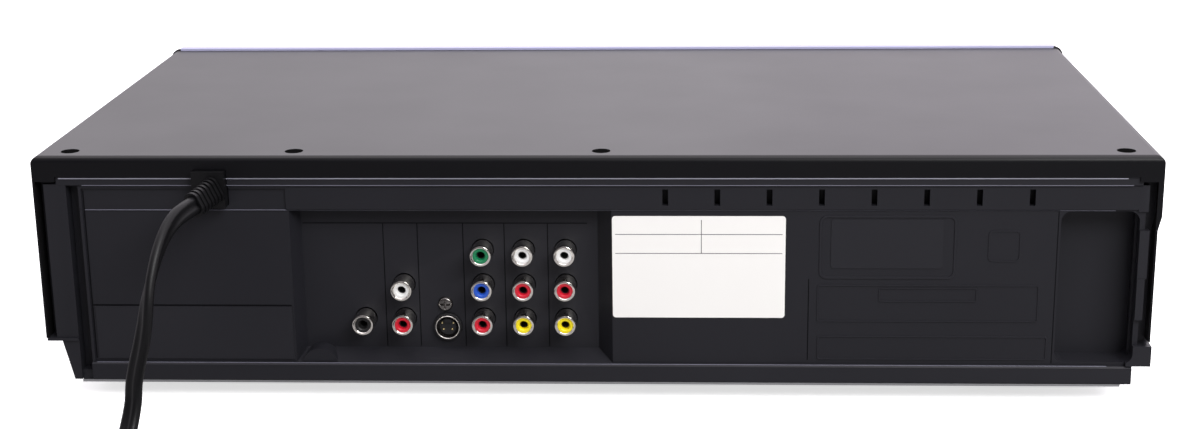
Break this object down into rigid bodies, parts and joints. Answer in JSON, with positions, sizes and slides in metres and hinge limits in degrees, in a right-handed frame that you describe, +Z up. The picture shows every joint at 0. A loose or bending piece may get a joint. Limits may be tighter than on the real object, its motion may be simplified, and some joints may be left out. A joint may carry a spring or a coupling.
{
  "type": "dvd vcr combo player",
  "caption": "Low black player case with a disc tray and a cassette slot in front, a recessed jack panel behind and a flat mains cord ending in a coil and a plug.",
  "frame": {"origin": "on the floor under the middle of the case, level with the feet", "axes": "+Z up, -Y towards the user at the front panel, +Y out of the jack panel, +X to the user's right"},
  "size_m": [0.4308, 0.4195, 0.0994],
  "materials": {
    "cover_steel": "dark satin paint",
    "rear_plastic": "moulded, fine grain",
    "chassis_plastic": "moulded",
    "plated_steel": "zinc plated sheet",
    "front_gloss": "gloss black",
    "trim_silver": "silver paint",
    "smoked_window": "smoked clear",
    "key_plastic": "satin grey",
    "tray_plastic": "moulded",
    "gear_plastic": "natural",
    "motor_steel": "plated",
    "bright_steel": "ground",
    "belt_rubber": "matt",
    "roller_rubber": "ground",
    "drum_metal": "turned",
    "reel_plastic": "moulded",
    "guide_metal": "turned",
    "board": "printed circuit board with parts",
    "power_parts": "single-sided board with parts",
    "jack_block": "moulded",
    "jack_metal": "nickel plated",
    "jack_colours": "coloured moulded cores",
    "foot_rubber": "matt",
    "screw_black": "black",
    "cord_vinyl": "satin vinyl"
  },
  "bodies": {
    "case": {"chassis": "chassis_plastic", "bottom_plate": "plated_steel", "rear_panel": "rear_plastic", "top_cover": "cover_steel", "front_panel": "front_gloss", "front_trim": "trim_silver", "display_window": "smoked_window", "door_spring": "bright_steel", "loader_frame": "tray_plastic", "loader_motor": "motor_steel", "loader_belt": "belt_rubber", "clamp_bridge": "plated_steel", "deck_plate": "plated_steel", "drum_base": "drum_metal", "loading_motor": "motor_steel", "main_board": "board", "power_board": "power_parts", "jack_board": "jack_block", "key_board": "board", "jack_shells": "jack_metal", "jack_inserts": "jack_colours", "svideo_jack": "jack_block", "feet": "foot_rubber", "cover_screws": "screw_black", "strain_relief": "cord_vinyl", "power_cord": "cord_vinyl", "cord_coil": "cord_vinyl", "power_plug": "cord_vinyl"},
    "door": {"cassette_door": "front_gloss"},
    "tray": {"disc_tray": "tray_plastic", "tray_front": "front_gloss"},
    "tray_gear": {"loader_gear": "gear_plastic"},
    "pulley": {"motor_pulley": "gear_plastic"},
    "traverse": {"traverse_plate": "plated_steel", "spindle_motor": "motor_steel", "guide_rods": "bright_steel"},
    "spindle": {"turntable": "tray_plastic"},
    "sled": {"pickup": "tray_plastic"},
    "sled_gear": {"feed_gear": "gear_plastic"},
    "puck": {"clamp_puck": "tray_plastic"},
    "slider": {"holder_slider": "plated_steel"},
    "holder": {"cassette_holder": "plated_steel"},
    "drum": {"head_drum": "drum_metal"},
    "capstan_unit": {"capstan": "motor_steel"},
    "pinch": {"pinch_arm": "plated_steel"},
    "roller": {"pinch_roller": "roller_rubber"},
    "supply": {"supply_reel": "reel_plastic"},
    "takeup": {"takeup_reel": "reel_plastic"},
    "guide_left": {"left_guide": "guide_metal"},
    "guide_right": {"right_guide": "guide_metal"},
    "cam": {"cam_gear": "gear_plastic"},
    "pinion": {"loading_pinion": "gear_plastic"},
    "power_key": {"power_button": "key_plastic"},
    "tray_key": {"tray_button": "key_plastic"},
    "eject_key": {"eject_button": "key_plastic"},
    "rewind_key": {"rewind_button": "key_plastic"},
    "play_key": {"play_button": "key_plastic"},
    "forward_key": {"forward_button": "key_plastic"},
    "stop_key": {"stop_button": "key_plastic"},
    "record_key": {"record_button": "key_plastic"}
  },
  "joints": [
    {"name": "door_swing", "type": "hinge", "parent": "case", "child": "door", "pos_m": [-0.107, -0.112, 0.0888], "axis": [1, 0, 0], "range_deg": [0, 90], "stiffness_Nm_per_rad": 0.01, "springref_deg": -17.19, "deforming": ["door_spring"]},
    {"name": "tray_slide", "type": "slide", "parent": "case", "child": "tray", "axis": [0, -1, 0], "range_m": [0, 0.132]},
    {"name": "loader_gear_spin", "type": "hinge", "parent": "case", "child": "tray_gear", "pos_m": [0.142, -0.086, 0.075], "axis": [0, 0, 1], "range_deg": [-946, 0]},
    {"name": "motor_pulley_spin", "type": "hinge", "parent": "case", "child": "pulley", "pos_m": [0.11, -0.086, 0.066], "axis": [0, 0, 1], "range_deg": [-3748, 0]},
    {"name": "traverse_tilt", "type": "hinge", "parent": "case", "child": "traverse", "pos_m": [0.1, 0.04, 0.0665], "axis": [1, 0, 0], "range_deg": [0, 4]},
    {"name": "turntable_spin", "type": "hinge", "parent": "traverse", "child": "spindle", "pos_m": [0.1, -0.045, 0.079], "axis": [0, 0, 1], "continuous": true},
    {"name": "pickup_slide", "type": "slide", "parent": "traverse", "child": "sled", "axis": [0, 1, 0], "range_m": [0, 0.034]},
    {"name": "feed_gear_spin", "type": "hinge", "parent": "traverse", "child": "sled_gear", "pos_m": [0.065, 0.005, 0.07], "axis": [0, 0, 1], "range_deg": [0, 325]},
    {"name": "puck_spin", "type": "hinge", "parent": "case", "child": "puck", "pos_m": [0.1, -0.045, 0.086], "axis": [0, 0, 1], "continuous": true},
    {"name": "holder_in", "type": "slide", "parent": "case", "child": "slider", "axis": [0, 1, 0], "range_m": [0, 0.034]},
    {"name": "holder_down", "type": "slide", "parent": "slider", "child": "holder", "axis": [0, 0, -1], "range_m": [0, 0.015]},
    {"name": "drum_spin", "type": "hinge", "parent": "case", "child": "drum", "pos_m": [-0.107, 0.06, 0.0492], "axis": [0, -0.1045, 0.9945], "continuous": true},
    {"name": "capstan_spin", "type": "hinge", "parent": "case", "child": "capstan_unit", "pos_m": [-0.048, 0.04, 0.04], "axis": [0, 0, 1], "continuous": true},
    {"name": "pinch_swing", "type": "hinge", "parent": "case", "child": "pinch", "pos_m": [-0.03, 0.019, 0.04], "axis": [0, 0, 1], "range_deg": [-28, 0]},
    {"name": "roller_spin", "type": "hinge", "parent": "pinch", "child": "roller", "pos_m": [-0.05889, 0.02153, 0.045], "axis": [0, 0, 1], "continuous": true},
    {"name": "supply_spin", "type": "hinge", "parent": "case", "child": "supply", "pos_m": [-0.153, -0.041, 0.04], "axis": [0, 0, 1], "continuous": true},
    {"name": "takeup_spin", "type": "hinge", "parent": "case", "child": "takeup", "pos_m": [-0.061, -0.041, 0.04], "axis": [0, 0, 1], "continuous": true},
    {"name": "left_guide_sweep", "type": "hinge", "parent": "case", "child": "guide_left", "pos_m": [-0.107, 0.06, 0.04], "axis": [0, 0, 1], "range_deg": [-100, 0]},
    {"name": "right_guide_sweep", "type": "hinge", "parent": "case", "child": "guide_right", "pos_m": [-0.107, 0.06, 0.04], "axis": [0, 0, 1], "range_deg": [0, 100]},
    {"name": "cam_turn", "type": "hinge", "parent": "case", "child": "cam", "pos_m": [-0.184, 0.028, 0.035], "axis": [0, 0, 1], "range_deg": [0, 180]},
    {"name": "pinion_spin", "type": "hinge", "parent": "case", "child": "pinion", "pos_m": [-0.184, 0.002, 0.035], "axis": [0, 0, 1], "range_deg": [-600, 0]},
    {"name": "power_press", "type": "slide", "parent": "case", "child": "power_key", "axis": [0, 1, 0], "range_m": [0, 0.0015], "stiffness_N_per_m": 300},
    {"name": "tray_press", "type": "slide", "parent": "case", "child": "tray_key", "axis": [0, 1, 0], "range_m": [0, 0.0015], "stiffness_N_per_m": 300},
    {"name": "eject_press", "type": "slide", "parent": "case", "child": "eject_key", "axis": [0, 1, 0], "range_m": [0, 0.0015], "stiffness_N_per_m": 300},
    {"name": "rewind_press", "type": "slide", "parent": "case", "child": "rewind_key", "axis": [0, 1, 0], "range_m": [0, 0.0015], "stiffness_N_per_m": 300},
    {"name": "play_press", "type": "slide", "parent": "case", "child": "play_key", "axis": [0, 1, 0], "range_m": [0, 0.0015], "stiffness_N_per_m": 300},
    {"name": "forward_press", "type": "slide", "parent": "case", "child": "forward_key", "axis": [0, 1, 0], "range_m": [0, 0.0015], "stiffness_N_per_m": 300},
    {"name": "stop_press", "type": "slide", "parent": "case", "child": "stop_key", "axis": [0, 1, 0], "range_m": [0, 0.0015], "stiffness_N_per_m": 300},
    {"name": "record_press", "type": "slide", "parent": "case", "child": "record_key", "axis": [0, 1, 0], "range_m": [0, 0.0015], "stiffness_N_per_m": 300}
  ],
  "couplings": [
    {"joint": "loader_gear_spin", "follows": "tray_slide", "rad_per_m": -125},
    {"joint": "motor_pulley_spin", "follows": "tray_slide", "rad_per_m": -495.37},
    {"joint": "puck_spin", "follows": "turntable_spin", "ratio": 1},
    {"joint": "feed_gear_spin", "follows": "pickup_slide", "rad_per_m": 166.67},
    {"joint": "pinion_spin", "follows": "cam_turn", "ratio": -3.3333},
    {"joint": "left_guide_sweep", "follows": "cam_turn", "ratio": -0.5555},
    {"joint": "right_guide_sweep", "follows": "cam_turn", "ratio": 0.5555},
    {"joint": "pinch_swing", "follows": "cam_turn", "ratio": -0.1555}
  ]
}
